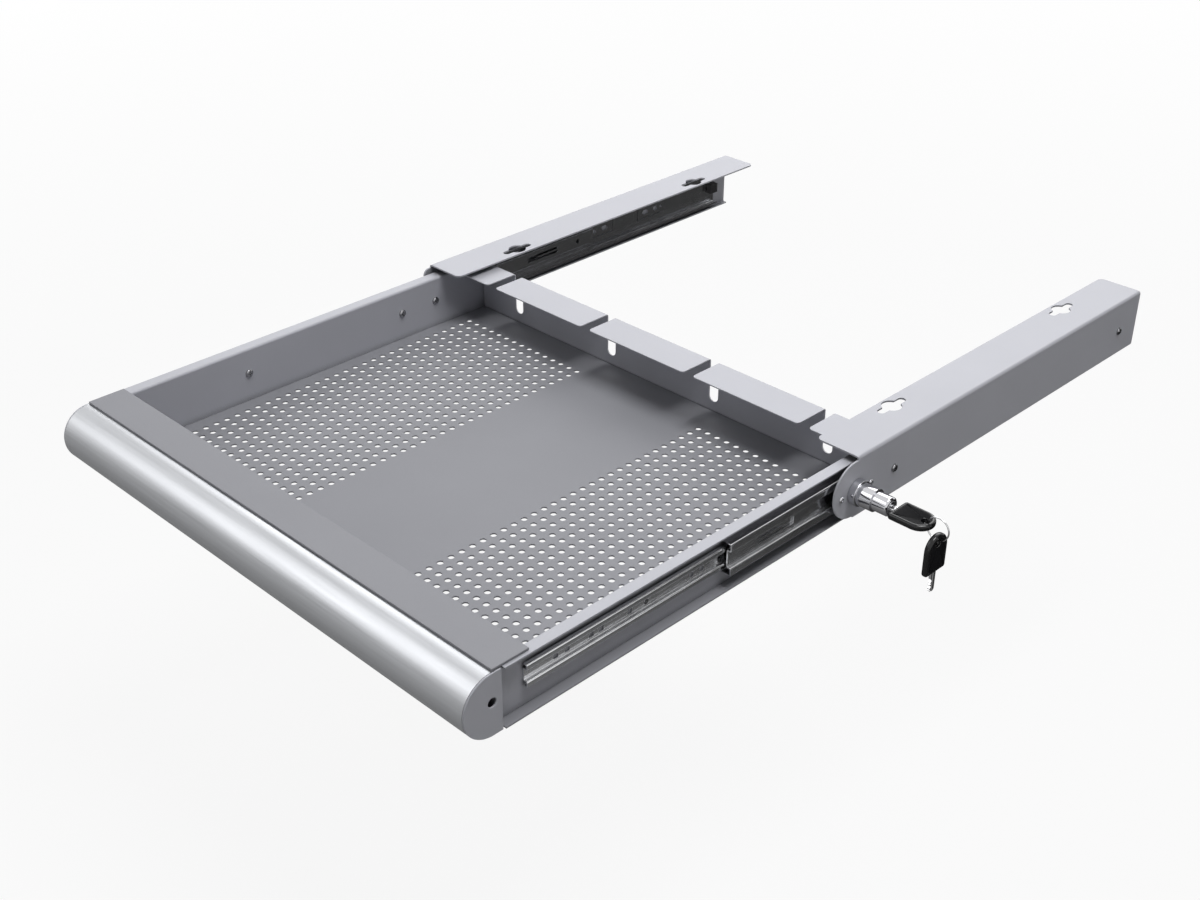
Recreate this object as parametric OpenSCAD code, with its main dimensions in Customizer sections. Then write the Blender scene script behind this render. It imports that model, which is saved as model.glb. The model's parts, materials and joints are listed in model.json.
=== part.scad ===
// Laptop security drawer: a perforated steel tray on ball slides, hung under a desk
// from two brackets, with a push lock and its keys on the right bracket.
// Pieces are drawn with the drawer pulled out: X to the right from the middle,
// Y back from the front edge of the cover strip, Z up from the underside of the floor.
// under_desk() moves them so that the origin is on the underside of the desk,
// midway between the four keyholes.

/* [Tray] */
// Width between the inner faces of the side walls
tray_w = 448.6; // [400:0.2:560]
// Height of the tray, floor and top flanges included
tray_h = 47; // [45:0.5:60]
// Depth of the tray, from its front wall to its rear wall
tray_d = 387; // [370:1:480]
// Thickness of the tray's steel sheet
sheet_t = 1.2; // [0.8:0.1:1.5]
// Outside radius of the tray's bends
tray_bend_r = 2.2; // [1.8:0.1:3]
// Width of the top flange of each side wall
side_flange_w = 10.3; // [6:0.1:11]
// Distance that the floor reaches out under each slide
floor_lip_w = 8.5; // [4:0.1:8.8]
// Depth of the flange on top of the front wall
front_flange_d = 18; // [10:0.5:20]
// Depth of the tabs on top of the rear wall
rear_tab_d = 34; // [20:0.5:45]
// Corner radius of the rear tabs
rear_tab_r = 3.5; // [1:0.1:8]
// Width of each cable slot in the rear wall
cable_slot_w = 9.7; // [6:0.1:14]
// Distance between neighbouring cable slots
cable_slot_pitch = 117; // [90:1:125]
// Height of the lowest point of the cable slots
cable_slot_z = 9.7; // [6:0.1:20]

/* [Perforation] */
// Diameter of the floor holes
hole_d = 5; // [3:0.1:7]
// Distance between neighbouring floor holes
hole_pitch = 10; // [8:0.5:14]
// Width of the plain strip between the two fields, measured between hole centres
plain_w = 140; // [100:5:200]
// Least distance from a hole centre to a side wall
hole_side_margin = 14; // [8:0.5:30]
// Distance from the front wall to the first row of holes
hole_front_margin = 35.5; // [30:0.5:60]
// Least distance from the last row of holes to the rear wall
hole_rear_margin = 30; // [20:0.5:60]

/* [Handle] */
// How far the handle reaches in front of the cover strip
handle_nose = 24.5; // [23:0.1:32]
// Wall of the handle extrusion
handle_wall = 2.4; // [1.6:0.1:4]
// Distance from the front edge of the cover strip to the tray's front wall
front_wall_y = 8.2; // [6:0.1:12]
// Distance from the outer face of an end cap to the edge of the top flange
cap_inset = 1.2; // [0.6:0.1:3]
// Thickness of the end caps
cap_t = 1.5; // [1:0.1:3]
// Gap between the end caps and the side walls
cap_seam = 1.5; // [0.5:0.1:3]
// How deep the end caps plug into the handle
cap_plug_d = 8; // [5:0.5:15]
// Wall of the end caps' plugs
cap_plug_wall = 2; // [1:0.1:3]
// Height of the strike hole above the underside of the floor
strike_z = 25.3; // [24.5:0.1:26]
// Diameter of the strike hole
strike_d = 6.8; // [6.4:0.1:8]
// Distance that the strike hole lies in front of the cover strip's edge
strike_y = 1.5; // [0:0.1:3]
// Depth of the cover strip, front to back
strip_d = 30.2; // [20:0.2:40]
// Thickness of the cover strip
strip_t = 1.9; // [1:0.1:2.5]
// Distance from each end of the cover strip to the end cap's outer face
strip_inset = 1.4; // [0:0.1:4]

/* [Slides] */
// How far the drawer pulls out
travel = 346; // [310:1:350]
// Distance from the cover strip's front edge to the inner members
slide_front_y = 30; // [20:0.5:34]
// Length of the outer and inner members
slide_len = 350; // [335:1:355]
// How much shorter the middle members are than the others
middle_short = 20; // [16:1:30]
// How far the middle members stop short of the others in front, closed
middle_setback = 9.4; // [4:0.2:12]
// Thickness of the slides, from side wall to bracket
slide_t = 12.7; // [12.4:0.1:14]
// Steel of the slide members
rail_t = 1.2; // [1:0.1:1.3]
// Height of the inner members
inner_h = 18.2; // [17.6:0.1:18.4]
// Diameter of the slide balls
ball_d = 2.9; // [2.8:0.05:3.2]
// Clearance round each ball
ball_gap = 0.05; // [0.02:0.01:0.1]
// Depth of the inner members, from their web to the outside of their lips
inner_d = 4.5; // [4.2:0.1:4.6]
// Steel of the ball cages
cage_t = 0.4; // [0.3:0.05:0.5]
// Clearance between the ball cages and the webs beside them
cage_gap = 0.3; // [0.15:0.05:0.35]
// Depth of the middle members, from their web to the outside of their lips
middle_d = 4.4; // [4.2:0.1:4.5]
// Length of the ball cages
cage_len = 90; // [60:1:110]
// Number of balls in each row
ball_count = 5; // [3:1:8]
// Gap between the middle members and the soft bumpers behind them, closed
bumper_gap = 0.4; // [0.2:0.1:1]

/* [Brackets] */
// Length of the brackets' flanges
bracket_len = 400; // [395:1:450]
// How far the right bracket's round front reaches ahead of its flanges, for the lock
nose_reach = 26.3; // [25:0.1:32]
// How far the left bracket's web reaches ahead of its flanges
left_reach = 8; // [6.5:0.1:12]
// Corner radius of the left bracket's web in front
left_corner_r = 6; // [2:0.5:6]
// Height of the relief that sets the fronts off from the flanges' bends
relief_gap = 0.5; // [0.2:0.1:2]
// Thickness of the brackets' steel sheet
bracket_t = 1.5; // [1:0.1:2]
// Outside radius of the brackets' bends
bracket_bend_r = 2.5; // [2.2:0.1:5]
// Height of the brackets
bracket_h = 52; // [51:0.5:60]
// Gap between the tray's top and the underside of the desk
desk_gap = 6.5; // [5:0.1:9]
// Width of the brackets' top flanges
bracket_flange_w = 39.2; // [34:0.1:50]
// Gap between the brackets' bottom lips and the floor's edges
lip_gap = 0.6; // [0.4:0.1:1.5]
// Corner radius of the top flanges
bracket_corner_r = 5; // [2:0.5:12]
// Distance from a keyhole to the bracket's side face
keyhole_inset = 29.7; // [22:0.1:30]
// Distance from the front of the flange to the first keyhole
keyhole_front = 79; // [60:1:120]
// Distance between the two keyholes of a bracket
keyhole_pitch = 240; // [200:1:260]
// Diameter of the keyholes
keyhole_d = 16; // [12:0.5:18]
// Width of the keyholes' slots
keyhole_slot_w = 6.5; // [4:0.1:8]
// Length of the keyholes' slots, end to end
keyhole_slot_len = 32; // [24:0.5:40]

/* [Screws] */
// Diameter of the slide and handle screws
screw_d = 3.9; // [3:0.1:4.2]
// Diameter of their heads
screw_head_d = 6.8; // [6:0.1:7.4]
// Height of their heads
screw_head_h = 1.6; // [1.2:0.1:2]
// Clearance round a screw in its hole
screw_gap = 0.05; // [0.02:0.01:0.1]
// Width of the cross recesses
recess_w = 0.9; // [0.6:0.1:1]

/* [Lock] */
// How far the plunger is pushed in to lock
lock_stroke = 13; // [11:0.1:14]
// How deep the bolt enters the end cap when locked
bolt_reach = 4.9; // [3:0.1:6]
// Diameter of the bolt
bolt_d = 6; // [5:0.1:6.2]
// Outside diameter of the sleeve
sleeve_d = 18; // [17:0.1:19]
// Distance that the sleeve sticks out of the bracket
sleeve_out = 18.6; // [18:0.1:24]
// Diameter of the plunger
plunger_d = 15; // [14.6:0.1:15.2]
// Running clearance of the plunger and the bolt
plunger_gap = 0.06; // [0.02:0.01:0.1]
// Distance that the plunger sticks out of the sleeve
plunger_out = 13.2; // [12.8:0.1:16]
// Bevel on the plunger's front edge
plunger_bevel = 1.2; // [0.5:0.1:2]
// Diameter of the plug that the key turns
plug_d = 10; // [9.6:0.1:11]
// Length of the plug
plug_len = 13.5; // [12.5:0.1:14]
// Diameter of the collar round the sleeve
collar_d = 20.4; // [19.6:0.1:24]
// Thickness of the collar
collar_t = 6; // [2:0.1:8]
// Thickness of the housing's plate behind the bracket
lock_plate_t = 1.8; // [1.6:0.1:2]
// Height of the housing's plate
lock_plate_h = 22; // [20:0.5:26]
// Distance from the lock's axis to each lock screw
lock_screw_off = 17.5; // [15:0.1:20]
// Diameter of the lock screws
lock_screw_d = 2.9; // [2.4:0.1:3.2]
// Diameter of the lock screws' heads
lock_head_d = 4.8; // [4.2:0.1:5.6]
// Height of the lock screws' heads
lock_head_h = 1.5; // [1:0.1:2]
// Wire of the lock spring
spring_wire_d = 0.8; // [0.6:0.05:0.9]
// Mean diameter of the lock spring
spring_mean_d = 9.2; // [9:0.1:9.4]
// Number of turns of the lock spring
spring_turns = 6; // [5:1:7]

/* [Keys] */
// Length of the key heads
key_head_l = 31.5; // [28:0.5:36]
// Width of the key heads
key_head_w = 23.5; // [20:0.5:27]
// Thickness of the key heads
key_head_t = 5; // [4:0.1:5.5]
// Distance from the plunger to the head of the key in the lock
key_stand_off = 4; // [2:0.1:8]
// Width of the key blades
key_blade_w = 5.8; // [5:0.1:8]
// Thickness of the key blades
key_blade_t = 2; // [1.6:0.1:2.4]
// Clearance of a key blade in the plug
key_gap = 0.1; // [0.05:0.01:0.2]
// Diameter of the holes in the key heads
key_hole_d = 6; // [5:0.1:7]
// Distance from the middle of a key head's hole to its round end
key_hole_inset = 7; // [6:0.1:8]
// Clearance of the key ring's wire where it bears on a key head
ring_gap = 0.05; // [0.02:0.01:0.2]
// Mean radius of the key ring
ring_r = 9; // [8.8:0.1:14]
// Wire of the key ring
ring_wire_d = 1.2; // [1:0.1:1.6]

/* [Hidden] */
$fn = 48;
RIGHT = 1;
LEFT = -1;
// Cuts run this far past the faces that they open
past = 1;

// Tray
wall_in = tray_w / 2;
wall_out = wall_in + sheet_t;
flange_edge = wall_in + side_flange_w;
floor_edge = wall_out + floor_lip_w;
tray_back_y = front_wall_y + tray_d;
handle_r = tray_h / 2;
handle_y = handle_r - handle_nose;
cap_out = flange_edge - cap_inset;
cap_in = cap_out - cap_t;
cap_back_y = front_wall_y - cap_seam;
strip_end = cap_out - strip_inset;
handle_screw_x = [for (k = [-1.5 : 1 : 1.5]) k * tray_w / 4];

// Perforation
field_w = wall_in - hole_side_margin - plain_w / 2;
hole_cols = floor(field_w / hole_pitch) + 1;
hole_rows = floor((tray_d - hole_front_margin - hole_rear_margin) / hole_pitch) + 1;

// Slides, in thickness t from the side wall and height v from their axis
slide_z = strike_z;
flange_gap = ball_d + 2 * ball_gap;
inner_flange_v = inner_h / 2 - rail_t / 2;
inner_ball_v = inner_h / 2 + flange_gap / 2;
middle_flange_v = inner_h / 2 + flange_gap + rail_t / 2;
middle_h = 2 * middle_flange_v + rail_t;
outer_ball_v = middle_h / 2 + flange_gap / 2;
outer_flange_v = middle_h / 2 + flange_gap + rail_t / 2;
outer_h = 2 * outer_flange_v + rail_t;
inner_lip_t = inner_d - rail_t / 2;
inner_cage_t = inner_d + cage_gap + cage_t / 2;
middle_web_t = inner_cage_t + cage_t / 2 + cage_gap + rail_t / 2;
middle_lip_t = middle_web_t + middle_d - rail_t;
outer_web_t = slide_t - rail_t / 2;
outer_cage_t = (middle_lip_t + outer_web_t) / 2;
shelf_share = 0.55;
inner_shelf_v = inner_flange_v * shelf_share;
middle_shelf_v = middle_flange_v * shelf_share;
inner_ball_t = 2.7;
cage_to_ball = 2.1;
outer_ball_t = outer_cage_t - cage_to_ball;
flange_past_ball = 1.3;
return_lip = 1.6;
rail_bend_r = rail_t * 0.75;
// The bent stop at the back of an outer member, which carries the bumper
stop_t = middle_web_t - rail_t / 2;
stop_h = 10;
cage_bend_r = cage_t;
middle_len = slide_len - middle_short;
middle_open_y = slide_front_y + middle_setback + travel / 2;
outer_y = slide_front_y + travel;
cage_start = 6;
cage_past_ball = 0.6;
outer_cage_y = outer_y + cage_start;
inner_cage_y = middle_open_y + cage_start;
slide_screw_off = [108, 269, 307];
slide_screw_y = [for (off = slide_screw_off) slide_front_y + off];
bracket_screw_front = 15;
bracket_screw_rear = 10;
bracket_screw_y = [outer_y + bracket_screw_front, outer_y + slide_len - bracket_screw_rear];
// Windows punched through the inner members, from their fronts
inner_window_off = [27, 37, 58, 67, 93, 152, 162, 230, 248, 330];
inner_window_l = 4;
inner_window_h = 4.4;
// Latch slots, the pin hole and the lock's window in the middle members
latch_slot_l = 39;
latch_slot_h = 6;
latch_tongue_l = 26;
latch_tongue_h = 1.6;
latch_front_off = 51;
latch_rear_off = 67;
pin_hole_off = 21;
pin_hole_r = 2.2;
bolt_window_l = 12;
bolt_window_gap = 1;
// Groups of holes punched through the outer members, from their fronts
group_off = [165.5, 269.5];
group_pitch = 12;
group_hole_r = [1.6, 2.6, 2.4];
group_long = 3.2;
group_slit = 0.8;
group_slit_l = 38;
group_slit_h = 11;
group_slit_start = 4;
group_slit_v = 6.5;

// Screws: how far each shank passes the steel that it holds, or stays short of its face
slide_shank_past = 0.4;
handle_shank_past = 1;
bracket_shank_short = 0.1;
lock_shank_short = 0.2;

// Brackets
bracket_in = wall_out + slide_t;
bracket_out = bracket_in + bracket_t;
bracket_front_y = handle_y + travel;
bracket_back_y = bracket_front_y + bracket_len;
bracket_top_z = tray_h + desk_gap;
bracket_bottom_z = bracket_top_z - bracket_h;
nose_h = bracket_h - 2 * (bracket_bend_r + relief_gap);
nose_z = bracket_bottom_z + bracket_h / 2;
lip_edge = floor_edge + lip_gap;
keyhole_x = bracket_out - keyhole_inset;
keyhole_y = [bracket_front_y + keyhole_front, bracket_front_y + keyhole_front + keyhole_pitch];
desk_y = (keyhole_y[0] + keyhole_y[1]) / 2;

// Lock, along X at this height and depth
lock_y = travel - strike_y;
lock_z = strike_z;
bolt_locked_x = cap_out - bolt_reach;
bolt_tip_x = bolt_locked_x + lock_stroke;
lock_plate_x = bracket_in - lock_plate_t;
lock_web_t = 1;
lock_web_x = lock_plate_x + lock_web_t;
sleeve_x = bracket_out + sleeve_out;
plunger_x = sleeve_x + plunger_out;
plunger_stop_gap = 1;
plunger_in_x = lock_web_x + plunger_stop_gap + lock_stroke;
plug_proud = 0.3;
plug_x = plunger_x - plug_len;
spring_pocket_wall = 1;
spring_pocket_x = plug_x - spring_pocket_wall;
spring_pocket_gap = 0.7;
spring_pocket_d = spring_mean_d + spring_wire_d + 2 * spring_pocket_gap;
spring_seat_gap = 0.1;
spring_sides = 6;
spring_rings = spring_turns * 12;
lock_plate_l = 2 * (lock_screw_off + lock_head_d);

// Keys
key_head_x = plunger_x + key_stand_off;
key_tip_gap = 0.6;
key_blade_in = plug_len - key_tip_gap;
key_blade_l = key_stand_off + key_blade_in;
key_tang = 9;
key_corner_r = 2.5;
cut_depth = [0.9, 1.7, 1.2, 2.0];
cut_pitch = 2.6;
cut_start = 2.2;
cut_share = 1.3;
tip_bevel = 2.4;
key_hole_x = key_head_x + key_head_l - key_hole_inset;
// How far the ring's wire curves away over half the thickness of a key head
ring_sag = ring_r - sqrt(pow(ring_r, 2) - pow(key_head_t / 2, 2));
// From the middle of a key's hole to the wire that bears on its edge
wire_off = key_hole_d / 2 - ring_wire_d / 2 - ring_sag - ring_gap;
ring_x = key_hole_x + wire_off + ring_r;
spare_hole_z = lock_z - ring_r - wire_off;
spare_top_z = spare_hole_z + key_hole_inset;

// Finishes
tray_grey = [0.50, 0.51, 0.54];
steel = [0.78, 0.79, 0.81];
aluminium = [0.82, 0.83, 0.85];
black_plastic = [0.07, 0.07, 0.08];
bright_chrome = [0.9, 0.9, 0.92];

module under_desk() translate([0, -desk_y, -bracket_top_z]) children();

module on_side(side) mirror([side == LEFT ? 1 : 0, 0, 0]) children();

// A flat shape drawn in X and Z, carried along Y
module along_y(y0, y1)
    translate([0, y1, 0]) rotate([90, 0, 0]) linear_extrude(y1 - y0) children();

// A flat shape drawn in Y and Z, carried along X
module along_x(x0, x1)
    translate([x0, 0, 0]) rotate([90, 0, 90]) linear_extrude(x1 - x0) children();

module rod_x(x0, x1, r, y, z)
    translate([x0, y, z]) rotate([0, 90, 0]) cylinder(h = x1 - x0, r = r);

module rod_y(y0, y1, r, x, z)
    translate([x, y0, z]) rotate([-90, 0, 0]) cylinder(h = y1 - y0, r = r);

function left_of(d) = [-d[1], d[0]];
function unit(v) = v / norm(v);

// One side of a bent sheet: the path's points, each corner rounded, moved sideways by s.
// Every corner is square, and bend_r is the bend's radius on the sheet's middle.
function bent_side(path, s, bend_r, steps) = [
    for (i = [0 : len(path) - 1])
        let (
            last = len(path) - 1,
            d_in = i == 0 ? unit(path[1] - path[0]) : unit(path[i] - path[i - 1]),
            d_out = i == last ? d_in : unit(path[i + 1] - path[i]),
            turn = sign(d_in[0] * d_out[1] - d_in[1] * d_out[0]),
            centre = path[i] + bend_r * (d_out - d_in),
            r = bend_r - s * turn
        )
        each (i == 0 || i == last)
            ? [path[i] + left_of(d_in) * s]
            : [for (k = [0 : steps]) let (a = 90 * k / steps)
                centre + r * (d_in * sin(a) - d_out * cos(a))]
];

function reversed(list) = [for (i = [len(list) - 1 : -1 : 0]) list[i]];

module bent_sheet(path, gauge, bend_r, steps = 4) {
    polygon(concat(
        bent_side(path, gauge / 2, bend_r, steps),
        reversed(bent_side(path, -gauge / 2, bend_r, steps))
    ));
}

// Tray

module floor_holes() {
    for (side = [LEFT, RIGHT], col = [0 : hole_cols - 1], row = [0 : hole_rows - 1])
        translate([
            side * (plain_w / 2 + col * hole_pitch),
            front_wall_y + hole_front_margin + row * hole_pitch
        ])
            circle(d = hole_d, $fn = 24);
}

module drawer_floor() {
    color(tray_grey)
        linear_extrude(sheet_t)
            difference() {
                translate([-floor_edge, front_wall_y]) square([2 * floor_edge, tray_d]);
                floor_holes();
            }
}

module side_wall(side) {
    wall_mid = wall_in + sheet_t / 2;
    color(tray_grey)
        on_side(side)
            difference() {
                along_y(front_wall_y, tray_back_y)
                    bent_sheet(
                        [[wall_mid, sheet_t], [wall_mid, tray_h - sheet_t / 2],
                            [flange_edge, tray_h - sheet_t / 2]],
                        sheet_t, tray_bend_r - sheet_t / 2
                    );
                for (y = slide_screw_y)
                    rod_x(wall_in - past, wall_out + past, screw_d / 2 + screw_gap, y, slide_z);
            }
}

module front_wall() {
    wall_mid = front_wall_y + sheet_t / 2;
    color(tray_grey)
        difference() {
            along_x(-wall_in, wall_in)
                bent_sheet(
                    [[wall_mid, sheet_t], [wall_mid, tray_h - sheet_t / 2],
                        [front_wall_y + front_flange_d, tray_h - sheet_t / 2]],
                    sheet_t, tray_bend_r - sheet_t / 2
                );
            for (x = handle_screw_x)
                rod_y(front_wall_y - past, front_wall_y + sheet_t + past,
                    screw_d / 2 + screw_gap, x, handle_r);
        }
}

// One cable slot: a round bottom in the rear wall, open at the top through the tabs
module cable_slot(x) {
    slot_r = cable_slot_w / 2;
    translate([x - slot_r, tray_back_y - rear_tab_d - past, cable_slot_z + slot_r])
        cube([cable_slot_w, rear_tab_d + 2 * past, tray_h]);
    rod_y(tray_back_y - sheet_t - past, tray_back_y + past, slot_r, x, cable_slot_z + slot_r);
}

// Rounds one front corner of a rear tab, whose edge is at x and whose metal lies towards dir
module tab_corner(x, dir) {
    r = rear_tab_r;
    tab_front = tray_back_y - rear_tab_d;
    translate([x, tab_front, tray_h - sheet_t - past])
        difference() {
            translate([dir > 0 ? -past : -r, -past, 0]) cube([r + past, r + past, sheet_t + 2 * past]);
            translate([dir * r, r, -past]) cylinder(h = sheet_t + 4 * past, r = r);
        }
}

module rear_wall() {
    wall_mid = tray_back_y - sheet_t / 2;
    slots = [for (k = [-1.5 : 1 : 1.5]) k * cable_slot_pitch];
    edges = concat(
        [[-wall_in, 1]],
        [for (x = slots) each [[x - cable_slot_w / 2, -1], [x + cable_slot_w / 2, 1]]],
        [[wall_in, -1]]
    );
    color(tray_grey)
        difference() {
            along_x(-wall_in, wall_in)
                bent_sheet(
                    [[wall_mid, sheet_t], [wall_mid, tray_h - sheet_t / 2],
                        [tray_back_y - rear_tab_d, tray_h - sheet_t / 2]],
                    sheet_t, tray_bend_r - sheet_t / 2
                );
            for (x = slots) cable_slot(x);
            for (e = edges) tab_corner(e[0], e[1]);
        }
}

// Handle

// The D outline in Y and Z, with its flat back at back_y, drawn in by inset all round
module d_outline(back_y, inset = 0) {
    intersection() {
        union() {
            translate([handle_y, handle_r]) circle(r = handle_r - inset, $fn = 96);
            translate([handle_y, inset]) square([back_y - inset - handle_y, tray_h - 2 * inset]);
        }
        translate([-handle_nose, 0]) square([handle_nose + back_y - inset, tray_h]);
    }
}

module handle_bar() {
    color(aluminium)
        difference() {
            along_x(-cap_in, cap_in)
                difference() {
                    d_outline(front_wall_y);
                    d_outline(front_wall_y, handle_wall);
                }
            for (x = handle_screw_x)
                rod_y(front_wall_y - handle_wall - past, front_wall_y + past,
                    screw_d / 2 + screw_gap, x, handle_r);
            for (side = [LEFT, RIGHT])
                on_side(side)
                    translate([wall_in, cap_back_y, -past])
                        cube([cap_out, cap_seam + past, tray_h + 2 * past]);
        }
}

// The strike hole goes through the right cap, where the lock's bolt comes in
module end_cap(side) {
    color(aluminium)
        on_side(side)
            difference() {
                union() {
                    along_x(cap_in, cap_out) d_outline(cap_back_y);
                    along_x(cap_in - cap_plug_d, cap_in)
                        difference() {
                            d_outline(cap_back_y, handle_wall + ball_gap);
                            d_outline(cap_back_y, handle_wall + ball_gap + cap_plug_wall);
                        }
                }
                if (side == RIGHT)
                    rod_x(cap_in - past, cap_out + past, strike_d / 2, -strike_y, strike_z);
            }
}

module cover_strip() {
    color(tray_grey)
        translate([-strip_end, 0, tray_h])
            cube([2 * strip_end, strip_d, strip_t]);
}

// Screws

// A pan head on the plane at 0 with its shank going down, as long as shank_l
module pan_screw(d, head_d, head_h, shank_l) {
    rim_h = head_h * 0.5;
    top_d = head_d * 0.7;
    recess_l = head_d * 0.54;
    recess_floor = head_h * 0.4;
    translate([0, 0, -shank_l]) cylinder(h = shank_l, d = d);
    difference() {
        union() {
            cylinder(h = rim_h, d = head_d);
            translate([0, 0, rim_h]) cylinder(h = head_h - rim_h, d1 = head_d, d2 = top_d);
        }
        for (a = [0, 90])
            rotate(a)
                translate([-recess_l / 2, -recess_w / 2, recess_floor])
                    cube([recess_l, recess_w, head_h]);
    }
}

module slide_screws() {
    shank_l = sheet_t + rail_t + slide_shank_past;
    color(steel)
        for (side = [LEFT, RIGHT], y = slide_screw_y)
            on_side(side)
                translate([wall_in, y, slide_z])
                    rotate([0, -90, 0])
                        pan_screw(screw_d, screw_head_d, screw_head_h, shank_l);
}

module handle_screws() {
    shank_l = sheet_t + handle_wall + handle_shank_past;
    color(steel)
        for (x = handle_screw_x)
            translate([x, front_wall_y + sheet_t, handle_r])
                rotate([-90, 0, 0])
                    pan_screw(screw_d, screw_head_d, screw_head_h, shank_l);
}

module bracket_screws() {
    shank_l = bracket_t + rail_t - bracket_shank_short;
    color(steel)
        for (side = [LEFT, RIGHT], y = bracket_screw_y)
            on_side(side)
                translate([bracket_out, y, slide_z])
                    rotate([0, 90, 0])
                        pan_screw(screw_d, screw_head_d, screw_head_h, shank_l);
}

module lock_screws() {
    shank_l = bracket_t + lock_plate_t - lock_shank_short;
    color(bright_chrome)
        for (dir = [-1, 1])
            translate([bracket_out, lock_y + dir * lock_screw_off, lock_z])
                rotate([0, 90, 0])
                    pan_screw(lock_screw_d, lock_head_d, lock_head_h, shank_l);
}

// Slides

// Moves a section drawn in t and v to its place beside the right side wall
module at_slide() translate([wall_out, 0, slide_z]) children();

// A stepped channel: flanges that the balls run on, lips, and a web set back between shelves
module stepped_section(flange_end_t, flange_v, lip_t, shelf_v, web_t) {
    bent_sheet(
        [[flange_end_t, flange_v], [lip_t, flange_v], [lip_t, shelf_v], [web_t, shelf_v],
            [web_t, -shelf_v], [lip_t, -shelf_v], [lip_t, -flange_v], [flange_end_t, -flange_v]],
        rail_t, rail_bend_r
    );
}

// The cut that punches a rectangular window through a web at t
module web_window(y, len_y, high, t) {
    translate([t - rail_t, y - len_y / 2, -high / 2])
        cube([2 * rail_t, len_y, high]);
}

module inner_slide(side) {
    color(steel)
        on_side(side)
            at_slide()
                difference() {
                    along_y(slide_front_y, slide_front_y + slide_len)
                        stepped_section(inner_ball_t - flange_past_ball, inner_flange_v,
                            inner_lip_t, inner_shelf_v, rail_t / 2);
                    for (y = slide_screw_y)
                        rod_x(-past, rail_t + past, screw_d / 2 + screw_gap, y, 0);
                    for (off = inner_window_off)
                        web_window(slide_front_y + off, inner_window_l, inner_window_h, rail_t / 2);
                }
}

// Slot near each end of a middle member, with the latch tongue left standing in it
module latch_slot(y, dir) {
    root = dir * (latch_slot_l - latch_tongue_l) / 2;
    difference() {
        web_window(y, latch_slot_l, latch_slot_h, middle_web_t);
        web_window(y - root, latch_tongue_l, latch_tongue_h, middle_web_t);
    }
}

module middle_slide(side) {
    back_y = middle_open_y + middle_len;
    color(steel)
        on_side(side)
            at_slide()
                difference() {
                    along_y(middle_open_y, back_y)
                        stepped_section(inner_ball_t - flange_past_ball, middle_flange_v,
                            middle_lip_t, middle_shelf_v, middle_web_t);
                    latch_slot(middle_open_y + latch_front_off, 1);
                    latch_slot(back_y - latch_rear_off, -1);
                    web_window(lock_y, bolt_window_l, bolt_d + 2 * bolt_window_gap, middle_web_t);
                    rod_x(middle_web_t - rail_t, middle_web_t + rail_t, pin_hole_r,
                        back_y - pin_hole_off, 0);
                }
}

module outer_slide(side) {
    lip_end_t = outer_ball_t - flange_past_ball - rail_t;
    color(steel)
        on_side(side)
            at_slide()
                union() {
                    difference() {
                        along_y(outer_y, outer_y + slide_len)
                            bent_sheet(
                                [[lip_end_t, outer_flange_v - return_lip],
                                    [lip_end_t, outer_flange_v],
                                    [outer_web_t, outer_flange_v],
                                    [outer_web_t, -outer_flange_v],
                                    [lip_end_t, -outer_flange_v],
                                    [lip_end_t, -outer_flange_v + return_lip]],
                                rail_t, rail_bend_r
                            );
                        for (y = bracket_screw_y)
                            rod_x(outer_web_t - rail_t, slide_t + past, screw_d / 2 + screw_gap, y, 0);
                        punched_group(outer_y + group_off[0], 1);
                        punched_group(outer_y + group_off[1], -1);
                    }
                    translate([stop_t, outer_y + slide_len - rail_t, -stop_h / 2])
                        cube([slide_t - rail_t - stop_t, rail_t, stop_h]);
                }
}

// A small hole, a round hole and an oblong one in a row, with an L-shaped slit under them
module punched_group(y, dir) {
    t0 = outer_web_t - rail_t;
    round_y = y + dir * group_pitch * 0.7;
    oblong_y = y + dir * group_pitch * 1.9;
    slit_y0 = y - dir * group_slit_start;
    slit_y1 = slit_y0 + dir * group_slit_l;
    rod_x(t0, slide_t + past, group_hole_r[0], y, 0);
    rod_x(t0, slide_t + past, group_hole_r[1], round_y, 0);
    for (k = [-1, 1])
        rod_x(t0, slide_t + past, group_hole_r[2], oblong_y + k * group_long / 2, 0);
    web_window(oblong_y, group_long, 2 * group_hole_r[2], outer_web_t);
    translate([t0, min(slit_y0, slit_y1), -group_slit_v])
        cube([2 * rail_t, group_slit_l, group_slit]);
    translate([t0, slit_y1 - group_slit / 2, -group_slit_v])
        cube([2 * rail_t, group_slit, group_slit_h]);
}

module rear_bumper(side) {
    front_y = middle_open_y + travel / 2 + middle_len + bumper_gap;
    back_y = outer_y + slide_len - rail_t;
    color(black_plastic)
        on_side(side)
            at_slide()
                translate([stop_t, front_y, -stop_h / 2])
                    cube([slide_t - rail_t - stop_t, back_y - front_y, stop_h]);
}

function ball_y(cage_y) =
    [for (i = [0 : ball_count - 1]) cage_y + cage_len * (i + 0.5) / ball_count];

// A thin channel whose flanges hold a row of balls above and below
module cage(side, cage_y, web_t, ball_t, ball_v) {
    flange_end = ball_t - ball_d / 2 - cage_past_ball;
    color(steel)
        on_side(side)
            at_slide()
                difference() {
                    along_y(cage_y, cage_y + cage_len)
                        bent_sheet(
                            [[flange_end, ball_v], [web_t, ball_v],
                                [web_t, -ball_v], [flange_end, -ball_v]],
                            cage_t, cage_bend_r, 3
                        );
                    for (y = ball_y(cage_y), dir = [-1, 1])
                        translate([ball_t, y, dir * ball_v - past])
                            cylinder(h = 2 * past, r = ball_d / 2 + ball_gap);
                }
}

module balls(side, cage_y, ball_t, ball_v) {
    color(bright_chrome)
        on_side(side)
            at_slide()
                for (y = ball_y(cage_y), dir = [-1, 1])
                    translate([ball_t, y, dir * ball_v]) sphere(d = ball_d, $fn = 24);
}

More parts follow.
